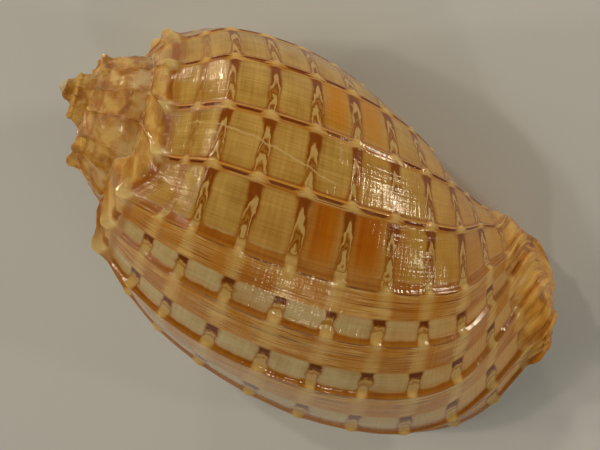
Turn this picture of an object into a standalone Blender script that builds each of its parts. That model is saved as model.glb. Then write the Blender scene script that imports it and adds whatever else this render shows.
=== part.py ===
"""Harp shell: one closed piece, grown as a coil that widens towards its lip.

The coil is described in cylindrical terms about the shell's own axis. A point has a radius, a
height (the distance from the apex along the axis) and an azimuth. Azimuth 0 is the lip, and it
runs back into older shell, so -2 pi is one turn before the lip. A place on the whorl's profile
is a number: -1 at the suture, 0 at the shoulder, 1 to 9 down the side at the nodules on each
rib, 10 in the groove above the siphonal fasciole, 11 on the fasciole, 13 at the anterior tip.
A growth line is where the lip once was. It is named by its azimuth at place 4, and the other
places on it lie ahead of that or behind it. Lengths are in millimetres until the mesh is made.
"""

import bmesh
import bpy
import numpy as np
from math import pi, radians
from mathutils import Matrix

TURN = 2 * pi

# The pose at rest, aperture down: turns about the shell's axis and about the crosswise line.
REST_ROLL = -8.1
REST_PITCH = 12.0

# The side of the last whorl along CROWN, the line that is uppermost at rest. Each row gives a
# place, its radius and height there, the growth of both for each radian, how much faster than
# that the place flares out near the lip, and how many degrees ahead it lies on a growth line.
CROWN = radians(-119)
SIDE = (
    (0, 14.4, 10.9, 0.132, 0.132, 0.000, 12.5),
    (1, 17.1, 15.6, 0.136, 0.134, 0.008, 8.0),
    (2, 19.2, 20.0, 0.137, 0.136, 0.011, 4.2),
    (3, 20.4, 25.7, 0.137, 0.137, 0.018, 2.0),
    (4, 20.8, 32.0, 0.138, 0.139, 0.026, 0.0),
    (5, 20.5, 38.2, 0.142, 0.140, 0.032, -2.0),
    (6, 19.6, 44.3, 0.145, 0.141, 0.033, -4.7),
    (7, 18.1, 50.0, 0.147, 0.142, 0.030, -8.6),
    (8, 15.8, 55.4, 0.138, 0.134, 0.020, -15.0),
    (9, 12.3, 60.4, 0.115, 0.113, 0.018, -29.0),
    (10, 9.3, 65.0, 0.045, 0.075, 0.006, -50.0),
    (11, 8.8, 69.2, 0.010, 0.055, 0.000, -85.0),
    (12, 6.0, 72.3, 0.000, 0.020, 0.000, -95.0),
    (13, 1.3, 74.5, 0.000, 0.000, 0.000, -95.0),
)
FLARE_REACH = 2.0

# Near the lip the front edge of the whorl runs on past the groove as a rounded lobe.
LOBE_LENGTH = 4.2
LOBE_PLACE = 10.6
LOBE_WIDTH = 1.15
LOBE_LINES = (-80, -10)

# Each turn meets the one before at this place on it. On the last turn the suture runs lower for
# a while, with the shoulder beside it, and comes up again at the thick rib at -94 degrees.
SUTURE_ON = 2.2
SUTURE_LOWER = 0.8
LOWER_FROM = (-420, -230)
LOWER_TO = (-98, -86)
SHOULDER_LOWER = ((-400, 0), (-230, 1.2), (-142, 1.5), (-119, 2.6), (-96, 3.2), (-82, 0.5), (-60, 0))
SHOULDER_REACH = 2
RAMP_CURVE = 1.5

# The turn before the last is fuller than its steady growth would make it.
FULLER = 0.13
FULLER_FROM = (-700, -400)
FULLER_TO = (-330, -250)
FULLER_PLACES = (4, 8)

SPIRE_TURNS = 4.25
APEX_OPENS_OVER = 0.8 * TURN
APEX_RADIUS = 0.9
APEX_RISE = 0.8

# Ribs of one turn, by azimuth in degrees. Every turn of the spire repeats them. Each stands
# between two feet that lie so many degrees behind its crest and ahead of it.
RIBS = (0, -22, -52, -75, -94, -119, -142, -167, -195, -219, -242, -266, -289, -313, -336)
RIB_BEHIND = 2.0
RIB_AHEAD = 3.2
RIB_HEIGHT = 0.8
RIB_FADE = 0.75
SPINE_HEIGHT = 1.0
SPINE_REACH = 0.6

# Ribs run out under the glaze beside the aperture and on the columella, over these azimuths.
GLAZE_EDGE = -310
PILLAR_RIBS = (-290, -220)
SEEN_OUTSIDE = (-390, -250)

WALL = 1.25
LIP_WALL = 2.0
LIP_THICKENS = -14
WALL_AT_TIP = 0.4
ROOT_BELOW = 0.5

# The space inside, from the lip back, and how the canal at its front closes on the columella.
LUMEN_END = -313
CANAL_TIP = 13
CANAL_INSIDE = 12.4
CANAL_RISES_OVER = 70
CLOSES_FROM = 9.5
FLAT_FROM = 7
FLAT_LINES = (-120, -15)

# The columella: a pillar that tapers to the tip.
PILLAR_TIP = 1.3
PILLAR_TAPER = 0.11
PILLAR_FILLET = 4
TIP_ROUNDING = 0.8

RAMP_PLACES = (-1, -0.45, 0, 0.9)
SIDE_PLACES = (3.8, 4.4, 5, 6, 7, 8, 9, 9.6, 10.2, 10.8, 11.5, 12.2)
INSIDE_PLACES = (-1, -0.45, 0.4, 1.5, 2.8, 4.2, 5.6, 7, 8, 9, 10, 11, 12, 13)
MERGE = 2e-6


def smooth(low, high, x):
    """0 below low, 1 above high, and a smooth rise between them."""
    s = np.clip((x - low) / (high - low), 0, 1)
    return s * s * (3 - 2 * s)


def smooth_turn(degrees, azimuth):
    """The same rise between two azimuths in degrees."""
    return smooth(radians(degrees[0]), radians(degrees[1]), azimuth)


def along_side(column, place):
    """A column of SIDE at any place, on a smooth curve through its rows."""
    rows = np.array(SIDE)
    places, values = rows[:, 0], rows[:, column]
    slopes = np.gradient(values, places)
    below = np.clip(np.floor(place), 0, len(places) - 2).astype(int)
    x = np.clip(place, 0, places[-1]) - below
    return (
        values[below] * (1 + 2 * x) * (1 - x) ** 2
        + slopes[below] * x * (1 - x) ** 2
        + values[below + 1] * x * x * (3 - 2 * x)
        + slopes[below + 1] * x * x * (x - 1)
    )


def suture_place(line):
    """The place on the turn before where a growth line starts."""
    lower = smooth_turn(LOWER_FROM, line) * (1 - smooth_turn(LOWER_TO, line))
    return SUTURE_ON + SUTURE_LOWER * lower


def ahead(place, line):
    """The azimuth by which a place runs ahead of place 4 on a growth line."""
    foot = along_side(6, suture_place(line))
    on_ramp = foot + (place + 1) * (SIDE[0][6] - foot)
    return np.radians(np.where(place < 0, on_ramp, along_side(6, place)))


def grown(place, azimuth):
    """Radius and height of a place from 0 to 13 where the side of the whorl shows outside."""
    t = azimuth - CROWN
    spread = np.where(t < 0, t * t / (1 + (t / FLARE_REACH) ** 2), t * t)
    radius = along_side(1, place) * np.exp(along_side(3, place) * t + along_side(5, place) * spread)
    height = along_side(2, place) * np.exp(along_side(4, place) * t)

    line = azimuth - np.radians(along_side(6, place))
    lobe = LOBE_LENGTH * np.exp(-(((place - LOBE_PLACE) / LOBE_WIDTH) ** 2))
    height = height + lobe * (1 - smooth(12, 13, place)) * smooth_turn(LOBE_LINES, line)
    degrees, lower = np.transpose(SHOULDER_LOWER)
    by_shoulder = 1 - smooth(0, SHOULDER_REACH, place)
    height = height + np.interp(azimuth, np.radians(degrees), lower) * by_shoulder
    fuller = smooth_turn(FULLER_FROM, azimuth) * (1 - smooth_turn(FULLER_TO, azimuth))
    radius = radius * (1 + FULLER * fuller * (1 - smooth(*FULLER_PLACES, place)))

    start = -SPIRE_TURNS * TURN + radians(SIDE[0][6])
    opening = np.sqrt(np.clip((azimuth - start) / APEX_OPENS_OVER, 0, 1))
    return radius * opening, height * opening


def columella(place, line, azimuth):
    """Radius and height of places 7 to 13 where they run down the pillar at the axis."""
    age = np.minimum(line + TURN, 0)
    size = np.exp(SIDE[0][3] * age)
    top_radius, top_height = grown(np.full_like(place, 7.0), azimuth)
    down = np.clip((place - 7) / 6, 0, 1)
    tip_height = SIDE[-1][2] * size
    height = top_height + (tip_height - top_height) * down
    pillar = PILLAR_TIP * size + (tip_height - height) * PILLAR_TAPER
    top_pillar = PILLAR_TIP * size + (tip_height - top_height) * PILLAR_TAPER
    return pillar + (top_radius - top_pillar) * (1 - down) ** PILLAR_FILLET, height


def profile(place, line):
    """Radius, height and azimuth of a place on a growth line, with no ribs on it."""
    azimuth = line + ahead(place, line)
    radius, height = grown(np.maximum(place, 0), azimuth)

    pillar_radius, pillar_height = columella(np.maximum(place, 7), line, azimuth)
    shown = np.where(place > 7, smooth_turn(SEEN_OUTSIDE, (azimuth + line) / 2), 1)
    radius = pillar_radius + (radius - pillar_radius) * shown
    height = pillar_height + (height - pillar_height) * shown

    suture_radius, suture_height = grown(suture_place(line), azimuth - TURN)
    across = np.clip(place + 1, 0, 1)
    on_ramp = place < 0
    ramp_height = suture_height + (height - suture_height) * across**RAMP_CURVE
    radius = np.where(on_ramp, suture_radius + (radius - suture_radius) * across, radius)
    height = np.where(on_ramp, ramp_height, height)
    rounding = APEX_RISE * np.exp(-((radius / APEX_RADIUS) ** 2))
    return radius, height - rounding, azimuth


def outward(place, line):
    """The direction out of the wall, as a radius part and a height part of length 1."""
    step = 0.02
    r0, h0, _ = profile(place - step, line)
    r1, h1, _ = profile(place + step, line)
    length = np.maximum(np.hypot(r1 - r0, h1 - h0), 1e-6)
    return (h1 - h0) / length, -(r1 - r0) / length


def rib_lift(place, line):
    """How far the ribs raise the outer face, on a growth line."""
    nearest = np.min([np.abs(line % TURN - radians(rib) % TURN) for rib in RIBS], axis=0)
    on_rib = nearest < radians(0.1)
    size = np.exp(SIDE[0][3] * line)
    body = RIB_HEIGHT * smooth(-1, -0.5, place) * (1 - RIB_FADE * smooth(9.5, 11, place))
    body = body * (1 - smooth(12, 13, place))
    spine = SPINE_HEIGHT * np.clip(1 - np.abs(place) / SPINE_REACH, 0, 1)
    suture = suture_place(line + TURN)
    covered = 1 - smooth(-TURN, radians(GLAZE_EDGE), line)
    glazed = smooth(suture, suture + ROOT_BELOW, place) * covered
    on_pillar = smooth(7, 9, place) * (1 - smooth_turn(PILLAR_RIBS, line))
    clear = (1 - glazed) * (1 - on_pillar)
    return np.where(on_rib, size * (body + spine) * clear, 0)


def in_space(radius, height, azimuth):
    """Points in the shell's own frame: X along the axis from the apex, Z up at the crown."""
    turned = azimuth - CROWN
    return np.stack([height, radius * np.sin(-turned), radius * np.cos(turned)], axis=-1)


def lifted(place, line):
    """Radius, height and azimuth of the outer face with its ribs."""
    radius, height, azimuth = profile(place, line)
    out_radius, out_height = outward(place, line)
    lift = rib_lift(place, line)
    return radius + out_radius * lift, height + out_height * lift, azimuth


def ramp_rows(lines):
    """Places from the suture to where the next turn covers the side, for each growth line."""
    rows = [np.full_like(lines, place) for place in RAMP_PLACES]
    return np.stack(rows + [suture_place(lines + TURN)], axis=-1)


def side_rows(lines, last):
    """Places down the side from the next turn's suture to last, for each growth line."""
    suture = suture_place(lines + TURN)
    rows = [np.full_like(lines, place) for place in SIDE_PLACES]
    return np.stack([suture, suture + ROOT_BELOW] + rows + [last + 0 * lines], axis=-1)


def canal_place(lines):
    """The place on the columella where the space inside ends, for each growth line."""
    return CANAL_TIP + (CANAL_INSIDE - CANAL_TIP) * smooth(0, radians(CANAL_RISES_OVER), -lines)


def outer_face(place, lines):
    """Grid of points on the outer face: one row for each growth line.

    The suture lies on the turn before, so the foot of the ramp follows that turn's ribs.
    """
    line = np.broadcast_to(lines[:, None], place.shape)
    radius, height, azimuth = lifted(place, line)
    under = suture_place(line)
    under_radius, under_height, _ = lifted(under, line - TURN)
    bare_radius, bare_height, _ = profile(under, line - TURN)
    near = np.clip(-place, 0, 1) ** 2
    radius = radius + (under_radius - bare_radius) * near
    height = height + (under_height - bare_height) * near
    return in_space(radius, height, azimuth)


def wall_back(place, line):
    """Radius and height of the inner face as the outer face moved in by the wall's thickness."""
    size = np.exp(SIDE[0][3] * line)
    wall = size * (WALL + (LIP_WALL - WALL) * smooth_turn((LIP_THICKENS, 0), line))
    wall = wall * (1 - (1 - WALL_AT_TIP) * smooth(10.5, 13, place))
    radius, height, azimuth = profile(place, line)
    out_radius, out_height = outward(place, line)
    return radius - out_radius * wall, height - out_height * wall, azimuth


def inner_face(lines):
    """Two grids round the space inside: the wall's inner face, and the turn before it.

    Near the lip the wall's inner face follows the outer one to the tip. Further in, where the
    columella outside it is solid, it runs straight to where the canal ends on the pillar.
    """
    place, line = np.meshgrid(np.array(INSIDE_PLACES, float), lines)
    radius, height, azimuth = wall_back(place, line)
    end = np.broadcast_to(canal_place(line), place.shape)
    end_radius, end_height, _ = profile(end, azimuth - TURN - ahead(end, line))
    closing = smooth(CLOSES_FROM, CANAL_TIP, place)
    radius = radius + (end_radius - radius) * closing
    height = height + (end_height - height) * closing

    top = np.full_like(place, FLAT_FROM)
    top_radius, top_height, _ = wall_back(top, azimuth - ahead(top, line))
    down = np.clip((place - FLAT_FROM) / (CANAL_TIP - FLAT_FROM), 0, 1)
    far_in = np.where(place > FLAT_FROM, 1 - smooth_turn(FLAT_LINES, line), 0)
    radius = radius + (top_radius + (end_radius - top_radius) * down - radius) * far_in
    height = height + (top_height + (end_height - top_height) * down - height) * far_in

    points = in_space(radius, height, azimuth)
    behind = outer_face(side_rows(lines - TURN, canal_place(lines)), lines - TURN)
    points[:, 0] = behind[:, 1]
    points[:, -1] = behind[:, -1]
    return points, behind[:, 1:]


def growth_lines(first, last):
    """The azimuths of the growth lines from first to last: the rib crests, and four between."""
    crests = sorted(radians(rib) - turn * TURN for rib in RIBS for turn in range(6))
    lines = []
    for older, newer in zip(crests, crests[1:]):
        ahead_foot = older + radians(RIB_AHEAD)
        behind_foot = newer - radians(RIB_BEHIND)
        third = (behind_foot - ahead_foot) / 3
        lines += [older, ahead_foot, ahead_foot + third, behind_foot - third, behind_foot]
    lines.append(crests[-1])
    return np.array([line for line in lines if first - 1e-6 < line < last + 1e-6])


def add_grid(shell, points):
    """Faces between the rows and columns of a grid of points."""
    rows = [[shell.verts.new(point) for point in row] for row in points]
    for low, high in zip(rows, rows[1:]):
        for corner in range(len(low) - 1):
            shell.faces.new((low[corner], low[corner + 1], high[corner + 1], high[corner]))


def add_strip(shell, one, other):
    """Triangles between two rows of points that may differ in number."""
    left = [shell.verts.new(point) for point in one]
    right = [shell.verts.new(point) for point in other]
    i = j = 0
    while i < len(left) - 1 or j < len(right) - 1:
        step_left = (left[min(i + 1, len(left) - 1)].co - right[j].co).length
        step_right = (right[min(j + 1, len(right) - 1)].co - left[i].co).length
        if j == len(right) - 1 or (i < len(left) - 1 and step_left < step_right):
            shell.faces.new((left[i], left[i + 1], right[j]))
            i += 1
        else:
            shell.faces.new((left[i], right[j + 1], right[j]))
            j += 1


def add_tip(shell, ring):
    """A blunt end on the anterior tip."""
    rim = [shell.verts.new(point) for point in ring]
    end = shell.verts.new(ring.mean(axis=0) + np.array([TIP_ROUNDING, 0, 0]))
    for one, other in zip(rim, rim[1:]):
        shell.faces.new((one, other, end))


def build_shell():
    shell = bmesh.new()
    spire = growth_lines(-SPIRE_TURNS * TURN, 0)
    last_turn = growth_lines(-TURN, 0)
    lumen = growth_lines(radians(LUMEN_END), 0)

    add_grid(shell, outer_face(ramp_rows(spire), spire))
    side = outer_face(side_rows(last_turn, CANAL_TIP), last_turn)
    add_grid(shell, side)
    add_tip(shell, side[:, -1])

    inside, behind = inner_face(lumen)
    add_grid(shell, inside)
    add_grid(shell, behind)
    add_grid(shell, np.stack([inside[0], behind[0]]))

    lip = lumen[-1:]
    edge = outer_face(np.hstack([ramp_rows(lip)[:, :-1], side_rows(lip, CANAL_TIP)]), lip)[0]
    root = outer_face(side_rows(lip - TURN, CANAL_TIP)[:, :1], lip - TURN)[0]
    add_strip(shell, edge, np.concatenate([root, inside[-1]]))

    bmesh.ops.scale(shell, vec=(0.001, 0.001, 0.001), verts=shell.verts)
    bmesh.ops.remove_doubles(shell, verts=shell.verts, dist=MERGE)
    bmesh.ops.dissolve_degenerate(shell, dist=MERGE, edges=shell.edges)
    bmesh.ops.recalc_face_normals(shell, faces=shell.faces)
    return shell


def at_rest(shell):
    """Lays the shell on its aperture, with its lowest point at height 0 and its middle at 0, 0."""
    turn = Matrix.Rotation(radians(REST_PITCH), 4, "Y") @ Matrix.Rotation(radians(REST_ROLL), 4, "X")
    bmesh.ops.transform(shell, matrix=turn, verts=shell.verts)
    places = np.array([vert.co for vert in shell.verts])
    low, high = places.min(axis=0), places.max(axis=0)
    shift = (-(low[0] + high[0]) / 2, -(low[1] + high[1]) / 2, -low[2])
    bmesh.ops.translate(shell, vec=shift, verts=shell.verts)


def main():
    for obj in list(bpy.data.objects):
        bpy.data.objects.remove(obj)
    shell = build_shell()
    at_rest(shell)
    mesh = bpy.data.meshes.new("shell")
    shell.to_mesh(mesh)
    shell.free()
    mesh.shade_smooth()
    mesh.set_sharp_from_angle(angle=radians(50))
    part = bpy.data.objects.new("shell", mesh)
    bpy.context.collection.objects.link(part)

    material = bpy.data.materials.new("shell")
    material.use_nodes = True
    surface = material.node_tree.nodes["Principled BSDF"]
    surface.inputs["Base Color"].default_value = (0.48, 0.26, 0.09, 1)
    surface.inputs["Roughness"].default_value = 0.3
    mesh.materials.append(material)


main()
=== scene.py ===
from math import pi, radians

import bpy
import numpy as np
from mathutils import Matrix, Vector


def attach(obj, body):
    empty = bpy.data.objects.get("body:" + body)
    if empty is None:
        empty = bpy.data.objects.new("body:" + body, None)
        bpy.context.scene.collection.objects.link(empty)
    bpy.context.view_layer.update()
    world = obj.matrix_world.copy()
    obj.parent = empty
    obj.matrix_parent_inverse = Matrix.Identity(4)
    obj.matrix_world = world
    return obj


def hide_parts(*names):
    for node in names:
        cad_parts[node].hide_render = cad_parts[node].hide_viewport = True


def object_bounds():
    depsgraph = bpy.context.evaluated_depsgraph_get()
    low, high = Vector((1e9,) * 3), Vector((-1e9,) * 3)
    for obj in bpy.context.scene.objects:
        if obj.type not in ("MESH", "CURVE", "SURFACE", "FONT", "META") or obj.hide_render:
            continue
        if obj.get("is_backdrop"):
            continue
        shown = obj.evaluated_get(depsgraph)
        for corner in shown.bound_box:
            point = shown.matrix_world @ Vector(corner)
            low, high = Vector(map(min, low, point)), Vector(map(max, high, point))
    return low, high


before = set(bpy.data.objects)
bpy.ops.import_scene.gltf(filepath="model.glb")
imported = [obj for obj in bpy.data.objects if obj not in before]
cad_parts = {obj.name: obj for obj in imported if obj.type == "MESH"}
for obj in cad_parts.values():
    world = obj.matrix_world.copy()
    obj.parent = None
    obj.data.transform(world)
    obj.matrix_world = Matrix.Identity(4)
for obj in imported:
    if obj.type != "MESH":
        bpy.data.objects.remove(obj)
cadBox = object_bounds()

turn = 2 * pi
mm = 0.001


def report(stage):
    print("[harp shell]", stage)


def smoothStep(low, high, x):
    s = np.clip((x - low) / (high - low), 0, 1)
    return s * s * (3 - 2 * s)


def smoothTurn(degrees, azimuth):
    return smoothStep(radians(degrees[0]), radians(degrees[1]), azimuth)


def bump(centre, reach, x):
    return np.exp(-(((x - centre) / reach) ** 2))


def waves(rates, line, place):
    # crossed waves, each with its own rate for a radian and for a place
    return np.prod([np.sin(perLine * line + perPlace * place) for perLine, perPlace in rates], axis=0)


def hexColour(code):
    parts = [int(code[i : i + 2], 16) / 255 for i in (1, 3, 5)]
    return tuple(p / 12.92 if p <= 0.04045 else ((p + 0.055) / 1.055) ** 2.4 for p in parts) + (1.0,)


# The coil. Every point has an azimuth about the shell's axis (0 at the lip, older shell below it),
# and a place down the side: -1 suture, 0 shoulder, 1 to 9 the knobs of a rib, 10 the groove,
# 11 the fasciole, 13 the front tip. Lengths are in mm, and pairs of azimuths in degrees.
coil = {
    "crown": radians(-119),  # the azimuth that is uppermost at rest
    # place, radius, height, growth of both for each radian, flare near the lip, degrees ahead
    "side": (
        (0, 14.4, 10.9, 0.132, 0.132, 0.000, 12.5),
        (1, 17.1, 15.6, 0.136, 0.134, 0.008, 8.0),
        (2, 19.2, 20.0, 0.137, 0.136, 0.011, 4.2),
        (3, 20.4, 25.7, 0.137, 0.137, 0.018, 2.0),
        (4, 20.8, 32.0, 0.138, 0.139, 0.026, 0.0),
        (5, 20.5, 38.2, 0.142, 0.140, 0.032, -2.0),
        (6, 19.6, 44.3, 0.145, 0.141, 0.033, -4.7),
        (7, 18.1, 50.0, 0.147, 0.142, 0.030, -8.6),
        (8, 15.8, 55.4, 0.138, 0.134, 0.020, -15.0),
        (9, 12.3, 60.4, 0.115, 0.113, 0.018, -29.0),
        (10, 9.3, 65.0, 0.045, 0.075, 0.006, -50.0),
        (11, 8.8, 69.2, 0.010, 0.055, 0.000, -85.0),
        (12, 6.0, 72.3, 0.000, 0.020, 0.000, -95.0),
        (13, 1.3, 74.5, 0.000, 0.000, 0.000, -95.0),
    ),
    "sizeGrowth": 0.132,  # for each radian
    "flareReach": 2.0,
    "lobeLength": 3.4,  # how far the fasciole reaches beyond the coil's own line
    "lobePlace": 10.6,
    "lobeWidth": 1.15,
    "lobeEnds": (12, 13),
    "lobeLines": (-80, -10),
    "sutureOn": 2.2,  # place on the turn before
    "sutureLower": 0.8,
    "lowerFrom": (-420, -230),
    "lowerTo": (-98, -86),
    # azimuth, and how much lower the shoulder lies there
    "shoulderLower": ((-400, 0), (-230, 1.2), (-142, 1.5), (-119, 2.6), (-96, 3.2), (-82, 0.5), (-60, 0)),
    "shoulderReach": 2,
    "rampCurve": 1.5,
    "fuller": 0.13,  # the turn before the last is this much fuller
    "fullerFrom": (-700, -400),
    "fullerTo": (-330, -250),
    "fullerPlaces": (4, 8),
    "spireTurns": 4.25,
    "apexOpensOver": 0.8 * turn,
    "apexRadius": 0.9,
    "apexRise": 0.8,
    "domeFoot": 0.35,
    "domeRadius": 0.85,
    "domeBlend": (0.95, 1.5),
    "domeOnlyAbove": 6,
    "spireStart": 60,  # degrees, where the coil has opened enough to hold its rows
    "seenOutside": (-390, -250),
    "pillarFrom": 7,  # place
    "pillarTip": 1.3,
    "pillarTaper": 0.11,
    "pillarFillet": 4,
    "slopeStep": 0.02,  # places, either way, to take the side's slope over
}
sideNames = ("place", "radius", "height", "radiusGrowth", "heightGrowth", "flare", "lead")
side = dict(zip(sideNames, np.transpose(coil["side"])))
frontTip = side["place"][-1]


def alongSide(name, place):
    places, values = side["place"], side[name]
    slopes = np.gradient(values, places)
    below = np.clip(np.floor(place), 0, len(places) - 2).astype(int)
    x = np.clip(place, 0, places[-1]) - below
    return (
        values[below] * (1 + 2 * x) * (1 - x) ** 2
        + slopes[below] * x * (1 - x) ** 2
        + values[below + 1] * x * x * (3 - 2 * x)
        + slopes[below + 1] * x * x * (x - 1)
    )


def suturePlace(line):
    lower = smoothTurn(coil["lowerFrom"], line) * (1 - smoothTurn(coil["lowerTo"], line))
    return coil["sutureOn"] + coil["sutureLower"] * lower


def ahead(place, line):
    foot = alongSide("lead", suturePlace(line))
    onRamp = foot + (place + 1) * (side["lead"][0] - foot)
    return np.radians(np.where(place < 0, onRamp, alongSide("lead", place)))


def sizeAt(line):
    return np.exp(coil["sizeGrowth"] * line)


def grown(place, azimuth):
    t = azimuth - coil["crown"]
    spread = np.where(t < 0, t * t / (1 + (t / coil["flareReach"]) ** 2), t * t)
    radius = alongSide("radius", place)
    radius = radius * np.exp(alongSide("radiusGrowth", place) * t + alongSide("flare", place) * spread)
    height = alongSide("height", place) * np.exp(alongSide("heightGrowth", place) * t)
    line = azimuth - np.radians(alongSide("lead", place))
    lobe = coil["lobeLength"] * bump(coil["lobePlace"], coil["lobeWidth"], place)
    lobe = lobe * (1 - smoothStep(*coil["lobeEnds"], place))
    height = height + lobe * smoothTurn(coil["lobeLines"], line)
    degrees, lower = np.transpose(coil["shoulderLower"])
    byShoulder = 1 - smoothStep(0, coil["shoulderReach"], place)
    height = height + np.interp(azimuth, np.radians(degrees), lower) * byShoulder
    fuller = smoothTurn(coil["fullerFrom"], azimuth) * (1 - smoothTurn(coil["fullerTo"], azimuth))
    radius = radius * (1 + coil["fuller"] * fuller * (1 - smoothStep(*coil["fullerPlaces"], place)))
    start = -coil["spireTurns"] * turn + radians(side["lead"][0])
    opening = np.sqrt(np.clip((azimuth - start) / coil["apexOpensOver"], 0, 1))
    return radius * opening, height * opening


def columella(place, line, azimuth):
    size = sizeAt(np.minimum(line + turn, 0))
    top = coil["pillarFrom"]
    topRadius, topHeight = grown(np.full_like(place, top), azimuth)
    down = np.clip((place - top) / (frontTip - top), 0, 1)
    tipHeight = side["height"][-1] * size
    height = topHeight + (tipHeight - topHeight) * down
    pillar = coil["pillarTip"] * size + (tipHeight - height) * coil["pillarTaper"]
    topPillar = coil["pillarTip"] * size + (tipHeight - topHeight) * coil["pillarTaper"]
    return pillar + (topRadius - topPillar) * (1 - down) ** coil["pillarFillet"], height


def profile(place, line):
    azimuth = line + ahead(place, line)
    radius, height = grown(np.maximum(place, 0), azimuth)
    pillarRadius, pillarHeight = columella(np.maximum(place, coil["pillarFrom"]), line, azimuth)
    shown = smoothTurn(coil["seenOutside"], (azimuth + line) / 2)
    shown = np.where(place > coil["pillarFrom"], shown, 1)
    radius = pillarRadius + (radius - pillarRadius) * shown
    height = pillarHeight + (height - pillarHeight) * shown
    sutureRadius, sutureHeight = grown(suturePlace(line), azimuth - turn)
    across = np.clip(place + 1, 0, 1)
    onRamp = place < 0
    rampHeight = sutureHeight + (height - sutureHeight) * across ** coil["rampCurve"]
    radius = np.where(onRamp, sutureRadius + (radius - sutureRadius) * across, radius)
    height = np.where(onRamp, rampHeight, height)
    rounding = coil["apexRise"] * np.exp(-((radius / coil["apexRadius"]) ** 2))
    dome = coil["domeFoot"] - np.sqrt(np.clip(coil["domeRadius"] ** 2 - radius**2, 0, None))
    height = height - rounding
    nearApex = np.where(height < coil["domeOnlyAbove"], 1 - smoothStep(*coil["domeBlend"], radius), 0)
    return radius, height + (dome - height) * nearApex, azimuth


def outward(place, line):
    r0, h0, _ = profile(place - coil["slopeStep"], line)
    r1, h1, _ = profile(place + coil["slopeStep"], line)
    length = np.maximum(np.hypot(r1 - r0, h1 - h0), 1e-6)
    return (h1 - h0) / length, -(r1 - r0) / length


def inSpace(radius, height, azimuth):
    turned = azimuth - coil["crown"]
    return np.stack([height, radius * np.sin(-turned), radius * np.cos(turned)], axis=-1)


# The ribs. Each was the lip once: a reflected edge, sharp towards the apex side, with a knob at
# every place, and a body that slopes down to the smooth shell laid after it. Heights are in mm on
# the last turn, and shrink with the shell.
ribs = {
    # azimuth and width of the body, degrees, and height of the edge, from the lip back
    "lastTurn": (
        (0, 9.0, 0.62), (-22, 11.0, 0.62), (-52, 14.5, 0.64), (-75, 12.2, 0.64), (-94, 10.2, 0.60),
        (-119, 3.0, 0.42), (-142, 3.0, 0.38), (-167, 3.0, 0.38), (-195, 3.0, 0.42), (-219, 3.4, 0.45),
        (-242, 3.4, 0.45), (-266, 3.4, 0.45), (-289, 3.4, 0.45), (-313, 3.4, 0.45), (-336, 3.4, 0.45),
    ),
    "roundedBefore": -380,  # ribs older than this azimuth are low and rounded, of one width
    "roundedWidth": 8,
    "bodyEnds": 0.4,  # share of the way to the next rib that a body takes on the growth map
    "steps": (0, 0.02, 0.05, 0.09, 0.14, 0.20, 0.27, 0.34, 0.40,
              0.50, 0.60, 0.70, 0.79, 0.87, 0.92, 0.955, 0.98, 0.993),
    "coarseSteps": (0, 0.20, 0.40, 0.70),
    "bodySlope": (-0.25, 1),  # shares of the body's width
    "edgeReach": 1.0,  # degrees, on the steep side
    "crestReach": 2.2,
    "knobs": (1, 9),
    "knobHeight": 0.2,
    "knobWidth": 0.075,
    "knobLean": 0.35,
    "spineHeight": (1.25, 0.75),
    "spinesShorten": (-140, -100),
    "spineReach": 0.2,
    "spineRise": 0.45,
    "lipShoulder": 0.45,
    "lipShoulderPlace": (0.6, 0.6),
    "lipShoulderLines": (-70, -50),
    "fasciolePlaces": (9.5, 10.4, 11.4, 12.7),
    "fascioleRibs": 0.1,
    "fascioleScales": 3,  # from one rib to the next
    "scaleHeight": 0.5,
    "scaleRise": (0, 0.8),
    "scaleDrop": (0.85, 1),
    "scaleSway": 0.12,
    "swayWaves": ((0, 5),),
    "scaleUneven": 0.6,
    "scaleWaves": ((31, 0), (7, 3.1)),
    "fascioleSinks": (-130, -60),
    "sinkDepth": 0.9,
    "fadeToSuture": (-1, -0.6),
    "fadeToFront": (11.6, 12.8),
    "spire": (-420, -350),
    "spireRibs": 0.8,
    "spireLumps": 0.34,
    "spireWaves": ((9, 3), (23, -5), (11, 4)),
    "glazedOver": (-360, -310),
    "glazeFade": 0.5,
    "pillarPlaces": (7, 9),
    "pillarRibs": (-290, -220),
    "apexRibs": (-1380, -1150),
}
oneTurn = np.array(ribs["lastTurn"])[::-1]
ribTable = np.concatenate([oneTurn - [360 * back, 0, 0] for back in range(5, -1, -1)])
ribAzimuths = np.radians(ribTable[:, 0])
ribWidths = np.radians(ribTable[:, 1])
reliefWidths = np.where(ribTable[:, 0] < ribs["roundedBefore"], ribs["roundedWidth"], ribTable[:, 1])
reliefWidths = np.radians(reliefWidths)
ribHeights = ribTable[:, 2]


def growthColumns(first, last, steps):
    # azimuth, rib number and share of the way to the next rib, for each column of the mesh
    columns = []
    for number in range(len(ribAzimuths) - 1):
        older, newer = ribAzimuths[number], ribAzimuths[number + 1]
        width = ribWidths[number] / (newer - older)
        for share in steps:
            if share < ribs["bodyEnds"]:
                way = share / ribs["bodyEnds"] * width
            else:
                way = width + (share - ribs["bodyEnds"]) / (1 - ribs["bodyEnds"]) * (1 - width)
            columns.append((older + way * (newer - older), number + share))
    columns.append((ribAzimuths[-1], len(ribAzimuths) - 1))
    columns = np.array(columns)
    return columns[(columns[:, 0] > first - 1e-6) & (columns[:, 0] < last + 1e-6)]


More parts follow.
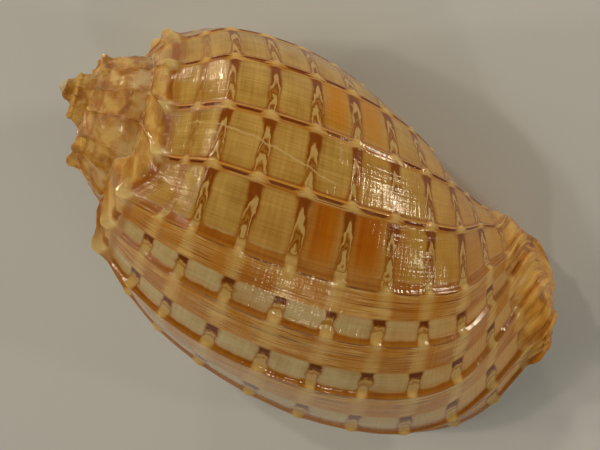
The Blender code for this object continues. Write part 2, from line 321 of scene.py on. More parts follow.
def relief(place, line):
    # height of the ribs, how far their knobs lean back, and their spines, for size 1
    number = np.clip(np.searchsorted(ribAzimuths, line + 1e-9) - 1, 0, len(ribAzimuths) - 2)
    after = line - ribAzimuths[number]
    before = ribAzimuths[number + 1] - line
    share = after / (after + before)
    knob = bump(np.clip(np.round(place), *ribs["knobs"]), ribs["knobWidth"], place)
    edge = bump(0, ribs["edgeReach"], np.degrees(before))
    body = 1 - smoothStep(*ribs["bodySlope"], after / reliefWidths[number])
    nearCrest = np.maximum(edge, bump(0, ribs["crestReach"], np.degrees(after)))
    height = np.maximum(ribHeights[number] * body, ribHeights[number + 1] * edge)
    height = height + ribs["knobHeight"] * knob * nearCrest
    swelling = ribs["lipShoulder"] * smoothTurn(ribs["lipShoulderLines"], line)
    height = height + swelling * bump(*ribs["lipShoulderPlace"], place) * nearCrest
    older, newer = ribs["spineHeight"]
    spine = older + (newer - older) * smoothTurn(ribs["spinesShorten"], line)
    spine = spine * bump(0, ribs["spineReach"], place)
    height = height + spine * nearCrest

    # the fasciole has overlapping scales, each steep on its older side
    starts, full, thins, ends = ribs["fasciolePlaces"]
    onFasciole = smoothStep(starts, full, place) * (1 - smoothStep(thins, ends, place))
    sway = ribs["scaleSway"] * waves(ribs["swayWaves"], line, place)
    scale = 1 - np.mod(share * ribs["fascioleScales"] + sway, 1)
    scales = ribs["scaleHeight"] * (1 + ribs["scaleUneven"] * waves(ribs["scaleWaves"], line, place))
    scales = scales * smoothStep(*ribs["scaleRise"], scale) * (1 - smoothStep(*ribs["scaleDrop"], scale))
    sinks = ribs["sinkDepth"] * smoothTurn(ribs["fascioleSinks"], line)
    height = height * (1 + ribs["fascioleRibs"] * onFasciole) + (scales - sinks) * onFasciole
    fromSuture = smoothStep(*ribs["fadeToSuture"], place)
    height = height * fromSuture * (1 - smoothStep(*ribs["fadeToFront"], place))

    onSpire = 1 - smoothTurn(ribs["spire"], line)
    lumps = ribs["spireLumps"] * waves(ribs["spireWaves"], line, place)
    height = height * (1 + ribs["spireRibs"] * onSpire) + lumps * onSpire * fromSuture
    suture = suturePlace(line + turn)
    covered = 1 - smoothTurn(ribs["glazedOver"], line)
    glazed = smoothStep(suture, suture + ribs["glazeFade"], place) * covered
    onPillar = smoothStep(*ribs["pillarPlaces"], place) * (1 - smoothTurn(ribs["pillarRibs"], line))
    clear = (1 - glazed) * (1 - onPillar) * smoothTurn(ribs["apexRibs"], line)
    return height * clear, ribs["knobLean"] * knob * nearCrest * clear, spine * nearCrest * clear


def lifted(place, line):
    radius, height, azimuth = profile(place, line)
    outRadius, outHeight = outward(place, line)
    lift, lean, spine = relief(place, line)
    size = sizeAt(line)
    height = height + size * (outHeight * lift - ribs["spineRise"] * spine)
    azimuth = azimuth - size * lean / np.maximum(radius, 1)
    return radius + size * outRadius * lift, height, azimuth


def outerFace(place, lines):
    # the suture lies on the turn before, so the foot of the ramp follows that turn's ribs
    line = np.broadcast_to(lines[:, None], place.shape)
    radius, height, azimuth = lifted(place, line)
    under = suturePlace(line)
    underRadius, underHeight, underAzimuth = lifted(under, line - turn)
    bareRadius, bareHeight, bareAzimuth = profile(under, line - turn)
    near = np.clip(-place, 0, 1) ** 2
    radius = radius + (underRadius - bareRadius) * near
    height = height + (underHeight - bareHeight) * near
    return inSpace(radius, height, azimuth + (underAzimuth - bareAzimuth) * near)


# The sheets of the mesh: rows down the side, close together at the knobs.
sheets = {
    "rampPlaces": (-1, -0.92, -0.8, -0.65, -0.5, -0.35, -0.22, -0.12, -0.05, 0, 0.05, 0.12, 0.22, 0.35,
                   0.5, 0.65, 0.78, 0.86, 0.93, 1, 1.07, 1.14, 1.25, 1.38, 1.5, 1.65, 1.78, 1.86, 1.93,
                   2, 2.07, 2.14),
    "stretchFrom": 1.65,
    "lastRowFrom": 3.05,  # place where the side's own rows start, below every suture
    "stepsToLastRow": (0, 0.18, 0.36, 0.55, 0.7, 0.85, 0.94),
    "stepsInPlace": (0, 0.07, 0.14, 0.25, 0.38, 0.5, 0.62, 0.75, 0.86, 0.93),
    "rowsApart": 0.004,  # places, the least that rows keep where the canal's edge cuts them short
    "wall": 1.25,
    "lipWall": 2.0,
    "lipThickens": -14,
    "wallAtTip": 0.4,  # share of the wall left there
    "wallThins": (10.5, 13),
    "spaceEnds": -313,
    "wallMeetsRow": 4,
    "canalInside": 12.4,
    "canalRisesOver": 70,
    "closesFrom": 9.5,
    "flatFrom": 7,
    "flatOver": 1.5,
    "flatLines": (-120, -15),
    "lipSteps": 8,
    "lipAhead": 0.02,  # radians past the lip, to take its direction from
    "lipRound": 0.75,
    "lipFullness": 0.7,  # a half circle is 1
    "lipFlatter": 0.7,  # share of the rounding lost at the front
    "lipFlatterPlaces": (9, 10.5),
    "tipSteps": 5,
    "tipRound": 0.8,
    "weldWithin": 0.0005,
}


def rampRows(lines):
    places = np.array(sheets["rampPlaces"])
    last = suturePlace(lines + turn)[:, None]
    start = sheets["stretchFrom"]
    stretched = start + (places - start) * (last - start) / (coil["sutureOn"] - start)
    rows = np.where(places > start, stretched, places)
    return np.hstack([rows, last])


def sideGrid(lines, last):
    suture, first = suturePlace(lines + turn), sheets["lastRowFrom"]
    places = [whole + step for whole in range(2, 13) for step in sheets["stepsInPlace"]]
    upper = [suture + (first - suture) * part for part in sheets["stepsToLastRow"]]
    lower = [
        np.minimum(place, last - sheets["rowsApart"] * (frontTip + 1 - place)) + 0 * lines
        for place in places
        if place > first
    ]
    return np.stack(upper + lower + [last + 0 * lines], axis=-1)


def canalPlace(lines):
    rise = smoothStep(0, radians(sheets["canalRisesOver"]), -lines)
    return frontTip + (sheets["canalInside"] - frontTip) * rise


def wallBack(place, line):
    size = sizeAt(line)
    wall = sheets["wall"]
    wall = wall + (sheets["lipWall"] - wall) * smoothTurn((sheets["lipThickens"], 0), line)
    wall = size * wall * (1 - (1 - sheets["wallAtTip"]) * smoothStep(*sheets["wallThins"], place))
    radius, height, azimuth = profile(place, line)
    outRadius, outHeight = outward(place, line)
    return radius - outRadius * wall, height - outHeight * wall, azimuth


def innerFaces(lines, places):
    # the wall's inner face, and the turn before it, which closes the space from behind
    place, line = np.meshgrid(places, lines)
    radius, height, azimuth = wallBack(place, line)
    end = np.broadcast_to(canalPlace(line), place.shape)
    endRadius, endHeight, _ = profile(end, azimuth - turn - ahead(end, line))
    closing = smoothStep(sheets["closesFrom"], frontTip, place)
    radius = radius + (endRadius - radius) * closing
    height = height + (endHeight - height) * closing
    flatFrom = sheets["flatFrom"]
    top = np.full_like(place, flatFrom)
    topRadius, topHeight, _ = wallBack(top, azimuth - ahead(top, line))
    down = np.clip((place - flatFrom) / (frontTip - flatFrom), 0, 1)
    farIn = smoothStep(flatFrom, flatFrom + sheets["flatOver"], place)
    farIn = farIn * (1 - smoothTurn(sheets["flatLines"], line))
    radius = radius + (topRadius + (endRadius - topRadius) * down - radius) * farIn
    height = height + (topHeight + (endHeight - topHeight) * down - height) * farIn
    points = inSpace(radius, height, azimuth)
    behindPlaces = sideGrid(lines - turn, canalPlace(lines))
    behind = outerFace(behindPlaces, lines - turn)
    meets = sheets["wallMeetsRow"]
    points[:, 0] = behind[:, meets]
    points[:, -1] = behind[:, -1]
    return points, behind[:, meets:], behindPlaces[:, meets:]


restPose = {"roll": -8.1, "pitch": 12.0, "apexAt": (-37.3712, 6.0451, 21.2147)}  # degrees, mm
toRest = (
    Matrix.Scale(mm, 4)
    @ Matrix.Translation(restPose["apexAt"])
    @ Matrix.Rotation(radians(restPose["pitch"]), 4, "Y")
    @ Matrix.Rotation(radians(restPose["roll"]), 4, "X")
)


def addSheet(name, points, columns, places, marks):
    # a grid rolled up to these points, with its growth maps and finish marks
    lineCount, placeCount = points.shape[:2]
    bpy.ops.object.select_all(action="DESELECT")
    bpy.ops.mesh.primitive_grid_add(x_subdivisions=placeCount - 1, y_subdivisions=lineCount - 1)
    sheet = bpy.context.object
    sheet.name = name
    mesh = sheet.data
    mesh.vertices.foreach_set("co", points.reshape(-1).astype(np.float32))
    while mesh.uv_layers:
        mesh.uv_layers.remove(mesh.uv_layers[0])
    growth = mesh.uv_layers.new(name="growth")
    degrees = mesh.uv_layers.new(name="degrees")
    corners = np.zeros(len(mesh.loops), int)
    mesh.loops.foreach_get("vertex_index", corners)
    onLine, onPlace = corners // placeCount, corners % placeCount
    rib = columns[:, 1][onLine]
    firstRib = np.repeat(np.floor(rib.reshape(-1, 4).min(axis=1) + 1e-6), 4).astype(int)
    azimuth = np.degrees(columns[:, 0])[onLine]
    older = np.degrees(ribAzimuths)[firstRib]
    newer = np.degrees(ribAzimuths)[np.minimum(firstRib + 1, len(ribAzimuths) - 1)]
    place = places[onLine, onPlace]
    growth.data.foreach_set("uv", np.stack([rib, place], -1).reshape(-1).astype(np.float32))
    sinceUntil = np.stack([azimuth - older, newer - azimuth], -1)
    degrees.data.foreach_set("uv", sinceUntil.reshape(-1).astype(np.float32))
    for mark, values in marks.items():
        layer = mesh.attributes.new(mark, "FLOAT", "POINT")
        values = np.broadcast_to(values, (lineCount, placeCount))
        layer.data.foreach_set("value", values.reshape(-1).astype(np.float32))
    return sheet


# Where each finish lies on the outside: azimuths in degrees, and places.
finishes = {
    # the glaze is deep orange instead of beige: rib count back from the lip, place, reach in both,
    # and strength
    "orange": (
        (-6.45, 4.5, 0.42, 0.30, 1.0), (-6.45, 5.45, 0.42, 0.32, 0.8), (-4.45, 4.5, 0.45, 0.35, 1.0),
        (-4.45, 5.45, 0.45, 0.38, 1.0), (-4.45, 6.2, 0.45, 0.25, 0.5), (-3.7, 8.4, 0.30, 0.5, 0.9),
        (-3.75, 5.5, 0.2, 0.8, 0.55), (-4.4, 8.5, 0.5, 0.6, 0.35), (-5.4, 8.3, 0.5, 0.6, 0.3),
    ),
    "wideRibs": (-99, -97),
    "spire": (-420, -330),
    "apexDome": (0.75, 1.15),  # mm from the axis
    "glazed": (-360, -300),
    "glazedPlaces": (2.2, 2.7),
    "pillar": (-300, -215),
    "pillarPlaces": (7, 9.5),
}


def outsideMarks(columns, places):
    line = np.broadcast_to(columns[:, :1], places.shape)
    count = np.broadcast_to(columns[:, 1:], places.shape) - (len(ribAzimuths) - 1)
    orange = np.zeros_like(places)
    for rib, place, ribReach, placeReach, strength in finishes["orange"]:
        spot = np.exp(-(((count - rib) / ribReach) ** 4) - ((places - place) / placeReach) ** 4)
        orange = np.maximum(orange, strength * spot)
    glazed = smoothStep(*finishes["glazedPlaces"], places) * (1 - smoothTurn(finishes["glazed"], line))
    onPillar = smoothStep(*finishes["pillarPlaces"], places) * (1 - smoothTurn(finishes["pillar"], line))
    return {
        "wideRib": smoothTurn(finishes["wideRibs"], line),
        "orangeGlow": orange,
        "spire": 1 - smoothTurn(finishes["spire"], line),
        "glaze": np.where(line < -turn - 1e-6, 0, np.maximum(glazed, onPillar)),
        "inside": 0.0,
        "apexDome": 1 - smoothStep(*finishes["apexDome"], profile(places, line)[0]),
    }


report("rolling up the coil")
spireLines = growthColumns(radians(coil["spireStart"]) - coil["spireTurns"] * turn, 0, ribs["steps"])
lastTurnLines = growthColumns(-turn, 0, ribs["steps"])
insideLines = growthColumns(radians(sheets["spaceEnds"]), 0, ribs["coarseSteps"])

rampPlaces = rampRows(spireLines[:, 0])
ramp = outerFace(rampPlaces, spireLines[:, 0])
made = [addSheet("ramp", ramp, spireLines, rampPlaces, outsideMarks(spireLines, rampPlaces))]

lastPlaces = sideGrid(lastTurnLines[:, 0], frontTip)
lastSide = outerFace(lastPlaces, lastTurnLines[:, 0])
made.append(addSheet("side", lastSide, lastTurnLines, lastPlaces, outsideMarks(lastTurnLines, lastPlaces)))

lipPlaces = np.hstack([rampPlaces[-1:, :-1], lastPlaces[-1:]])
inside, behind, behindPlaces = innerFaces(insideLines[:, 0], lipPlaces[0])
insidePlaces = np.broadcast_to(lipPlaces, inside.shape[:2])
made.append(addSheet("inside", inside, insideLines, insidePlaces, {"inside": 1.0, "glaze": 0.0}))
behindLines = insideLines - [turn, len(oneTurn)]
made.append(addSheet("behind", behind, behindLines, behindPlaces, {"inside": 0.0, "glaze": 1.0}))

# The lip's edge, rounded over from the last rib to the inner face.
lipLine = lastTurnLines[-1:, 0]
lipOuter, lipInner = outerFace(lipPlaces, lipLine)[0], inside[-1]
atLip = inSpace(*profile(lipPlaces, lipLine + 0 * lipPlaces))[0]
pastLip = inSpace(*profile(lipPlaces, lipLine + sheets["lipAhead"] + 0 * lipPlaces))[0]
onward = (pastLip - atLip) / np.maximum(np.linalg.norm(pastLip - atLip, axis=1, keepdims=True), 1e-6)
rounding = np.linalg.norm(lipOuter - lipInner, axis=1, keepdims=True) / 2
rounding = np.minimum(rounding, sheets["lipRound"])
flatter = 1 - sheets["lipFlatter"] * smoothStep(*sheets["lipFlatterPlaces"], lipPlaces[0])
flatter = flatter * smoothStep(*ribs["fadeToSuture"], lipPlaces[0])
lip = []
for way in np.linspace(0, 1, sheets["lipSteps"] + 1):
    over = np.sin(pi * min(way, 1 - way)) ** sheets["lipFullness"] * rounding * flatter[:, None]
    lip.append(lipOuter + (lipInner - lipOuter) * (1 - np.cos(pi * way)) / 2 + onward * over)
lip = np.array(lip)
lipColumns = np.repeat(lastTurnLines[-1:], len(lip), axis=0)
lipMarks = {"inside": np.linspace(0, 1, len(lip))[:, None], "glaze": 0.0, "wideRib": 1.0}
made.append(addSheet("lip", lip, lipColumns, np.repeat(lipPlaces, len(lip), axis=0), lipMarks))

# The blunt front tip closes over the last ring.
ring = lastSide[:, -1]
middle = ring.mean(axis=0)
tip = []
for way in np.linspace(0, pi / 2, sheets["tipSteps"] + 1):
    beyond = np.array([sheets["tipRound"] * np.sin(way), 0, 0])
    tip.append(middle + (ring - middle) * np.cos(way) + beyond)
tip = np.stack(tip, axis=1)
tipPlaces = np.full(tip.shape[:2], frontTip)
made.append(addSheet("tip", tip, lastTurnLines, tipPlaces, {"inside": 0.0, "glaze": 0.0}))

report("joining the sheets")
weld = sheets["weldWithin"] * mm
bpy.ops.object.select_all(action="DESELECT")
for sheet in made:
    sheet.select_set(True)
harpShell = made[1]
bpy.context.view_layer.objects.active = harpShell
bpy.ops.object.join()
harpShell.name = "harpShell"
harpShell.data.name = "harpShell"
harpShell.data.transform(toRest)
bpy.ops.object.mode_set(mode="EDIT")
bpy.ops.mesh.select_all(action="SELECT")
bpy.ops.mesh.remove_doubles(threshold=weld)
bpy.ops.mesh.dissolve_degenerate(threshold=weld)
bpy.ops.mesh.select_all(action="DESELECT")
bpy.ops.mesh.select_mode(type="EDGE")
bpy.ops.mesh.select_non_manifold(extend=False)
bpy.ops.mesh.fill_holes(sides=0)
bpy.ops.mesh.select_all(action="SELECT")
bpy.ops.mesh.normals_make_consistent(inside=False)
bpy.ops.object.mode_set(mode="OBJECT")
bpy.ops.object.shade_smooth()
report(f"{len(harpShell.data.polygons)} faces")


oldToNew = len(ribAzimuths) - 1 - 6  # the gap where thin ribs give way to wide ones, on the rib count
glazedShell = {
    "blockLight": "#d8b062",
    "blockDark": "#ae853a",
    "blockPale": "#d4c6a0",
    "blockFront": "#e09c30",
    "blockBorder": "#9a5307",
    "bandTan": "#c28125",
    "orange": "#ae5602",
    "orangeLight": "#ca7c0a",
    "golden": "#dc9400",
    "archWhite": "#d6b470",
    "archTan": "#b47d2c",
    "archBrown": "#8c4909",
    "blotch": "#6e3507",
    "blotchThin": "#8c480c",
    "bodyLight": "#eec681",
    "bodyPink": "#d49c50",
    "bodyWarm": "#c8841e",
    "bodyShade": "#b06a20",
    "bodyBrown": "#7c3c08",
    # gold of each rib's edge, and partly a painted highlight along its top
    "crest": "#dca046",
    "knob": "#e8c47c",
    "spine": "#ecd297",
    "dash": "#742e0a",
    # brown before each edge, and partly painted shade in the hollow at the foot of the raised edge
    "band": "#94500c",
    "shoulderTan": "#a8660c",
    "spireDark": "#985a18",
    "spireTan": "#c08228",
    "spireLight": "#e4b860",
    # pearly grey near the suture, and partly a painted sheen
    "spireGreyAndSheen": "#c4a876",
    "fascioleDark": "#b06a20",
    "fascioleTan": "#da9a40",
    "fascioleLight": "#eebc64",
    "fasciolePurple": "#7e4434",
    "apexWhite": "#e6dcc4",
    "inside": "#e6d8bd",
    "glaze": "#d6ad70",
    "glazeBrown": "#5c2d0d",
    "scar": "#e2c48a",
    # bands of colour, each from its start on
    "arches": (
        (0.0, "archBrown"), (0.06, "archBrown"), (0.13, "archTan"), (0.2, "archWhite"), (0.48, "archWhite"),
        (0.6, "archTan"), (0.74, "archBrown"), (0.88, "archTan"), (1.0, "archTan"),
    ),
    "roundSpots": (
        (0.0, "archBrown"), (0.06, "archTan"), (0.14, "archWhite"), (0.3, "archTan"), (0.38, "archWhite"),
    ),
    "bodyStripes": (
        (0.35, "bodyBrown"), (0.4, "bodyPink"), (0.45, "bodyLight"), (0.485, "bodyShade"),
        (0.52, "bodyPink"), (0.56, "bodyLight"), (0.6, "bodyBrown"), (0.65, "bodyLight"),
        (0.71, "bodyBrown"),
    ),
    "fascioleTones": ((0.25, "fascioleDark"), (0.4, "fascioleTan"), (0.55, "fascioleLight")),
    "spireTones": ((0.36, "spireDark"), (0.47, "spireTan"), (0.6, "spireLight")),
    # what a degree, a place and the gap between two ribs measure on the last turn, mm
    "degree": 0.45,
    "place": 5.4,
    "ribGap": 10.4,
    # Sizes of the patterns, mm. The shell's growth lines lie about 0.1 mm apart, which is too fine to
    # show, so lines, ridges and stripes are drawn three to nine times as coarse.
    "lineSize": 0.3,
    "ridgeSize": 0.5,
    "stripeSize": 0.9,
    # along the growth and down the side
    "spiralLine": (13.0, 0.36),  # about 0.15 mm apart on the shell, and drawn coarser as well
    "spiralStreak": (21.667, 0.7714),
    "cloud": (4.0, 2.7),
    "warmCloud": (6.1176, 4.5),
    "scaleStreak": (4.0, 6.0),
    # the same every way
    "wobbleSize": 1.6875,
    "rippleSize": 0.6,
    "mottleSize": 2.381,
    "purpleSize": 3.03,
    "glazeBlotch": 13.333,
    # the same measures on the thin older ribs and on the wide newer ones
    "thinAndWide": {
        "blockEnds": (0.98, 0.85),
        "lateBand": (0.4, 1.0),
        "firstColumnCovered": (0.6, 0.0),
        "columnsFullFrom": (1.8, 0.8),
        "archStart": (0.06, 0.22),
        "archCount": (1.9, 0.9),
        "archBow": (1.0, 0.15),
        "bandShadeStrength": (1.0, 0.55),
        "crestHighlightStrength": (1.0, 0.25),
        "dashShare": (1.0, 0.38),
    },
    # how strong each pattern is, and where each part fades into the next, in places or shares
    "lineSlant": 0.35,
    "wobble": (0.11, 0.08),  # in places across, and in shares of the gap down
    "spiralShare": 0.35,
    "cloudShare": 0.7,
    "lineContrast": (0.28, 0.72),
    "palest": (0.35, 0.8),
    "orangeLines": 0.35,
    "orangeStreaks": 0.6,
    "goldenShare": 0.75,  # older gaps are golden where newer ones are orange
    "faintOrange": (0.6, 1.0, 0.0, 0.2),
    "blockStart": -0.08,
    "blockSide": 0.115,
    "blockSquareness": (6.0, 8.0),
    "lateGap": (0.5, 0.85),
    # how far blocks turn tan before the next rib, partly painted shade
    "lateTanShade": 0.35,
    "columnWidth": (0.09, 0.135),
    "archLuck": 0.6,
    "archNarrow": 7.6,
    "ripple": (0.15, 0.07),
    "scarFrom": oldToNew + 0.48,
    "scarBow": 0.022,
    "scarWobble": 0.12,
    "scarWidth": (0.006, 0.016),
    "scarStrength": 0.55,
    "bodyShading": (0.1, 0.9, 0.1, 0.75),
    "bodyWarmth": (0.46, 0.6, 0.0, 0.62),
    "thinBodyEdge": (0.26, 0.34),
    "wideBodyEdge": (0.375, 0.42),
    "dashPlaces": (0.11, 0.28),
    "dashWidth": 1.2,  # degrees
    "bandShadeFade": (1.0, 1.9),
    "crestHighlightFade": (0.6, 1.1),
    "dashFade": (-0.25, 0.1),
    "knobReach": (0.9, 2.0),
    "spineReach": (1.5, 4.5),
    "knobFade": (0.04, 0.13),  # places
    "spineFade": (0.15, 0.4),
    "purpleShare": (0.55, 0.66, 0.0, 0.75),
    "spireShare": 0.75,
    # strength of the painted highlight along the suture
    "sutureHighlightStrength": 0.6,
    "blotched": (0.5, 0.56, 0.0, 0.85),
    "insideTint": 0.16,
    "roughness": (0.04, 0.11),
    "ior": 1.53,  # the lowest of aragonite's three
    "coat": 0.1,
    "coatRoughness": 0.04,
    "ridgeHeight": 0.07,  # mm
    "spiralHeight": 0.08,
}
asColours = {"data_type": "RGBA", "out": 2}  # what a Mix node needs for two colours
times, timesPlus, plus = {"operation": "MULTIPLY"}, {"operation": "MULTIPLY_ADD"}, {"operation": "ADD"}


def paintShell(name, look):
    # Aragonite, laid by the mantle and polished by its glaze: a hard gloss over fine crossed lines.
    material = bpy.data.materials.new(name)
    material.use_nodes = True
    tree = material.node_tree
    surface = tree.nodes["Principled BSDF"]
    colour = {key: hexColour(code) for key, code in look.items() if isinstance(code, str)}
    degree, place, ribGap = look["degree"], look["place"], look["ribGap"]

    def addNode(kind, links=(), out=0, stops=(), **settings):
        # adds a node with its settings, links or sets its inputs, and returns one output
        node = tree.nodes.new("ShaderNode" + kind)
        for setting, value in settings.items():
            setattr(node, setting, value)
        for socket, value in links.items() if isinstance(links, dict) else enumerate(links):
            if isinstance(value, bpy.types.NodeSocket):
                tree.links.new(value, node.inputs[socket])
            else:
                node.inputs[socket].default_value = value
        if stops:
            band = node.color_ramp.elements
            while len(band) < len(stops):
                band.new(1.0)
            for element, (start, key) in zip(band, stops):
                element.position = start
                element.color = colour[key]
        return node.outputs[out]

    # the growth maps and finish marks on the mesh
    growth = addNode("UVMap", uv_map="growth")  # the count of ribs, and the place
    u, v = [addNode("SeparateXYZ", [growth], out=axis) for axis in (0, 1)]
    degrees = addNode("UVMap", uv_map="degrees")  # after the older rib, and before the newer one
    since, until = [addNode("SeparateXYZ", [degrees], out=axis) for axis in (0, 1)]
    where = addNode("TexCoord", out=3)
    wide, glow, spire, glaze, inner, apexDome = [
        addNode("Attribute", out=2, attribute_name=mark)
        for mark in ("wideRib", "orangeGlow", "spire", "glaze", "inside", "apexDome")
    ]
    byWidth = {}
    for measure, pair in look["thinAndWide"].items():
        byWidth[measure] = addNode("MapRange", [wide, 0.0, 1.0, *pair])

    # which rib and which place a point belongs to, and its own place in that cell
    ribNumber = addNode("Math", [u], operation="FLOOR")
    share = addNode("Math", [u], operation="FRACT")
    halfOn = addNode("Math", [v, 0.5], **plus)
    knobNumber = addNode("Math", [halfOn], operation="FLOOR")
    blockNumber = addNode("Math", [v], operation="FLOOR")
    cell = addNode("CombineXYZ", [ribNumber, knobNumber, 0.0])
    cellLuck = addNode("TexWhiteNoise", [cell])
    block = addNode("CombineXYZ", [ribNumber, blockNumber, 5.0])
    blockLuck = addNode("TexWhiteNoise", [block])
    wobbleScale = place / look["wobbleSize"]
    wobble = addNode("TexNoise", {"Vector": growth, "Scale": wobbleScale, "Detail": 3.0}, out=1)
    wobbleX, wobbleY = [addNode("SeparateXYZ", [wobble], out=axis) for axis in (0, 1)]
    shiftAcross, shiftDown = [
        addNode("Math", [part, 2 * most, -most], **timesPlus)
        for part, most in zip((wobbleX, wobbleY), look["wobble"])
    ]
    across = addNode("Math", [v, knobNumber], operation="SUBTRACT")
    across = addNode("Math", [across, shiftAcross], **plus)
    fromKnob = addNode("Math", [across], operation="ABSOLUTE")
    gap = addNode("MapRange", [share, ribs["bodyEnds"], 1.0])
    down = addNode("Math", [gap, shiftDown], **plus)

    # the growth lines, which change slowly down the side, and the fine spiral lines across them
    slant = addNode("Math", [v, look["lineSlant"]], **times)
    lineAt = addNode("CombineXYZ", [since, slant, ribNumber])
    lines = {"Vector": lineAt, "Scale": degree / look["lineSize"], "Detail": 3.0, "Roughness": 0.6}
    growthLines = addNode("TexNoise", lines)
    maps = {}
    for pattern in ("spiralLine", "spiralStreak", "cloud", "warmCloud", "scaleStreak"):
        along, downSide = look[pattern]
        scale = (ribGap / along, place / downSide, 1.0)
        maps[pattern] = addNode("Mapping", {"Vector": growth, "Scale": scale})
    spiralLines = addNode("TexNoise", {"Vector": maps["spiralLine"], "Scale": 1.0})

    # the blocks: round-cornered, beige, with the growth lines through them
    acrossLines = addNode("Math", [growthLines, 1 - look["spiralShare"]], **times)
    weave = addNode("Math", [spiralLines, look["spiralShare"], acrossLines], **timesPlus)
    clouds = addNode("TexNoise", {"Vector": maps["cloud"], "Scale": 1.0})
    weave = addNode("Math", [weave, -look["cloudShare"] / 2], **plus)
    weave = addNode("Math", [clouds, look["cloudShare"], weave], **timesPlus)
    lineTint = addNode("MapRange", [weave, *look["lineContrast"]])
    blockColour = {0: lineTint, 6: colour["blockDark"], 7: colour["blockLight"]}
    blockColour = addNode("Mix", blockColour, **asColours)
    paleShare = addNode("MapRange", [lineTint, 0.0, 1.0, *look["palest"]])
    paleShare = addNode("Math", [wide, paleShare], **times)
    towardsFront = addNode("MapRange", [v, 5.8, 8.6, 0.0, 0.5])
    for layer, key in ((paleShare, "blockPale"), (towardsFront, "blockFront")):
        blockColour = addNode("Mix", {0: layer, 6: blockColour, 7: colour[key]}, **asColours)
    spiralStreaks = addNode("TexNoise", {"Vector": maps["spiralStreak"], "Scale": 1.0, "Detail": 3.0})
    streakTint = addNode("MapRange", [spiralStreaks, 0.35, 0.65])
    streakTint = addNode("Math", [streakTint, look["orangeStreaks"]], **times)
    orangeTint = addNode("Math", [lineTint, look["orangeLines"], streakTint], **timesPlus)
    orange = addNode("Mix", {0: orangeTint, 6: colour["orange"], 7: colour["orangeLight"]}, **asColours)
    goldShare = addNode("MapRange", [u, oldToNew, oldToNew + 1, look["goldenShare"], 0.0])
    orange = addNode("Mix", {0: goldShare, 6: orange, 7: colour["golden"]}, **asColours)
    luckyOrange = addNode("MapRange", [blockLuck, *look["faintOrange"]])
    orangeShare = addNode("Math", [glow, luckyOrange], operation="MAXIMUM", use_clamp=True)
    blockColour = addNode("Mix", {0: orangeShare, 6: blockColour, 7: orange}, **asColours)

    # a block's outline, and the brown border round it
    sidePower, endPower = look["blockSquareness"]
    fromMiddle = addNode("MapRange", [fromKnob, 0.5, look["blockSide"]], clamp=False)
    sides = addNode("Math", [fromMiddle, sidePower], operation="POWER")
    fromCentre = [down, look["blockStart"], byWidth["blockEnds"], -1.0, 1.0]
    fromCentre = addNode("MapRange", fromCentre, clamp=False)
    fromCentre = addNode("Math", [fromCentre], operation="ABSOLUTE")
    ends = addNode("Math", [fromCentre, endPower], operation="POWER")
    boxed = addNode("Math", [sides, ends], **plus)
    inBlock = addNode("MapRange", [boxed, 0.2, 1.15, 1.0, 0.0], interpolation_type="SMOOTHSTEP")
    borderColour = {0: orangeShare, 6: colour["blockBorder"], 7: colour["orange"]}
    borderColour = addNode("Mix", borderColour, **asColours)
    lateGap = addNode("MapRange", [down, *look["lateGap"]])
    lateGap = addNode("Math", [lateGap, byWidth["lateBand"]], **times)
    bandColour = addNode("Mix", {0: lineTint, 6: colour["blockBorder"], 7: colour["bandTan"]}, **asColours)
    borderColour = addNode("Mix", {0: lateGap, 6: borderColour, 7: bandColour}, **asColours)
    orangeRunsOn = addNode("Math", [orangeShare, 0.85], **times)
    inBlock = addNode("Math", [inBlock, orangeRunsOn], operation="MAXIMUM")
    # towards the next rib the block turns tan: partly its own colour, partly painted shade in the hollow
    # there
    lateTanShade = addNode("Math", [lateGap, look["lateTanShade"]], **times)
    blockColour = addNode("Mix", {0: lateTanShade, 6: blockColour, 7: colour["bandTan"]}, **asColours)
    # the first column is faint on the older ribs, and the block runs on through it
    firstColumn = addNode("Math", [knobNumber, 1.0, 0.5], operation="COMPARE")
    runsOn = addNode("Math", [firstColumn, byWidth["firstColumnCovered"]], **times)
    inBlock = addNode("Math", [inBlock, runsOn], operation="MAXIMUM")
    gapColour = addNode("Mix", {0: inBlock, 6: borderColour, 7: blockColour}, **asColours)

    # the narrow columns below the knobs: a brown blotch that parts round a stack of arches
    archCount = [cellLuck, look["archLuck"], byWidth["archCount"]]
    archCount = addNode("Math", archCount, **timesPlus)
    ripple = addNode("TexNoise", {"Vector": growth, "Scale": place / look["rippleSize"]}, out=1)
    ripples = [addNode("SeparateXYZ", [ripple], out=axis) for axis in (0, 1)]
    rippleDown, rippleAcross = [
        addNode("Math", [part, 2 * most, -most], **timesPlus) for part, most in zip(ripples, look["ripple"])
    ]
    archDown = addNode("Math", [down, byWidth["archStart"]], operation="SUBTRACT")
    archDown = addNode("Math", [archDown, rippleDown], **plus)
    archDown = addNode("Math", [archDown, archCount], **times)
    spread = addNode("Math", [across, rippleAcross], **plus)
    spread = addNode("Math", [spread, look["archNarrow"]], **times)
    spread = addNode("Math", [spread, 2.0], operation="POWER")
    spread = addNode("Math", [spread, byWidth["archBow"]], **times)
    arch = addNode("Math", [archDown, spread], operation="SUBTRACT")
    archPart = addNode("Math", [arch], operation="FRACT")
    archColour = addNode("ValToRGB", [archPart], stops=look["arches"])
    roundSpot = addNode("ValToRGB", [archPart], stops=look["roundSpots"])
    archColour = addNode("Mix", {0: wide, 6: archColour, 7: roundSpot}, **asColours)
    inArch = addNode("MapRange", [arch, -0.03, 0.05])
    blotchColour = addNode("Mix", {0: wide, 6: colour["blotchThin"], 7: colour["blotch"]}, **asColours)
    columnColour = addNode("Mix", {0: inArch, 6: blotchColour, 7: archColour}, **asColours)
    columnSides = [fromKnob, *look["columnWidth"], 0.9, 0.0]
    inColumn = addNode("MapRange", columnSides, interpolation_type="SMOOTHSTEP")
